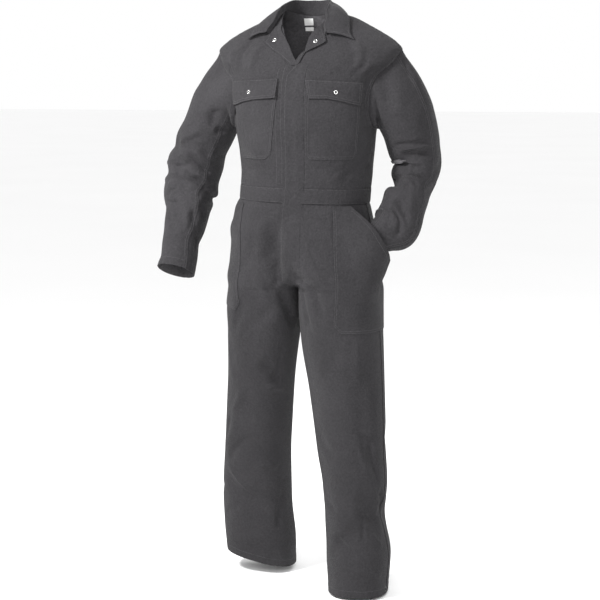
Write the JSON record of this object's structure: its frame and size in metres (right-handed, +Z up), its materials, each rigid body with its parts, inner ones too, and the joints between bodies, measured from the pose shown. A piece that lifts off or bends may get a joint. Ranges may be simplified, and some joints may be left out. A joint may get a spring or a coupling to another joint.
{
  "type": "boiler suit",
  "caption": "One-piece workwear coverall with collar and lapels, snap-flap chest pockets, placket front, waistband, long sleeves and patch hip pockets.",
  "frame": {"origin": "between the shoulders, where the wearer carries the suit, 1.48 m above the lower hem", "axes": "+X to the wearer's left, +Y to the wearer's back, +Z up; the front faces -Y"},
  "size_m": [0.76, 0.3662, 1.5999],
  "materials": {
    "cloth": "dark grey polyester and cotton twill, matte",
    "snap": "satin steel",
    "label": "white woven tape, bare"
  },
  "bodies": {
    "root": {"front_left": "cloth", "front_right": "cloth", "back": "cloth", "waistband_left": "cloth", "waistband_right": "cloth", "waistband_back": "cloth", "trouser_front_left": "cloth", "trouser_front_right": "cloth", "trouser_back_left": "cloth", "trouser_back_right": "cloth", "sleeve_top_left": "cloth", "sleeve_top_right": "cloth", "sleeve_under_left": "cloth", "sleeve_under_right": "cloth", "placket": "cloth", "chest_pocket_left": "cloth", "chest_pocket_right": "cloth", "chest_flap_left": "cloth", "chest_flap_right": "cloth", "hip_pocket_left": "cloth", "hip_pocket_right": "cloth", "lapel_left": "cloth", "lapel_right": "cloth", "collar": "cloth", "snap_flap_left": "snap", "snap_flap_right": "snap", "snap_lapel_left": "snap", "snap_lapel_right": "snap", "neck_label": "label", "size_label": "label"}
  },
  "joints": []
}
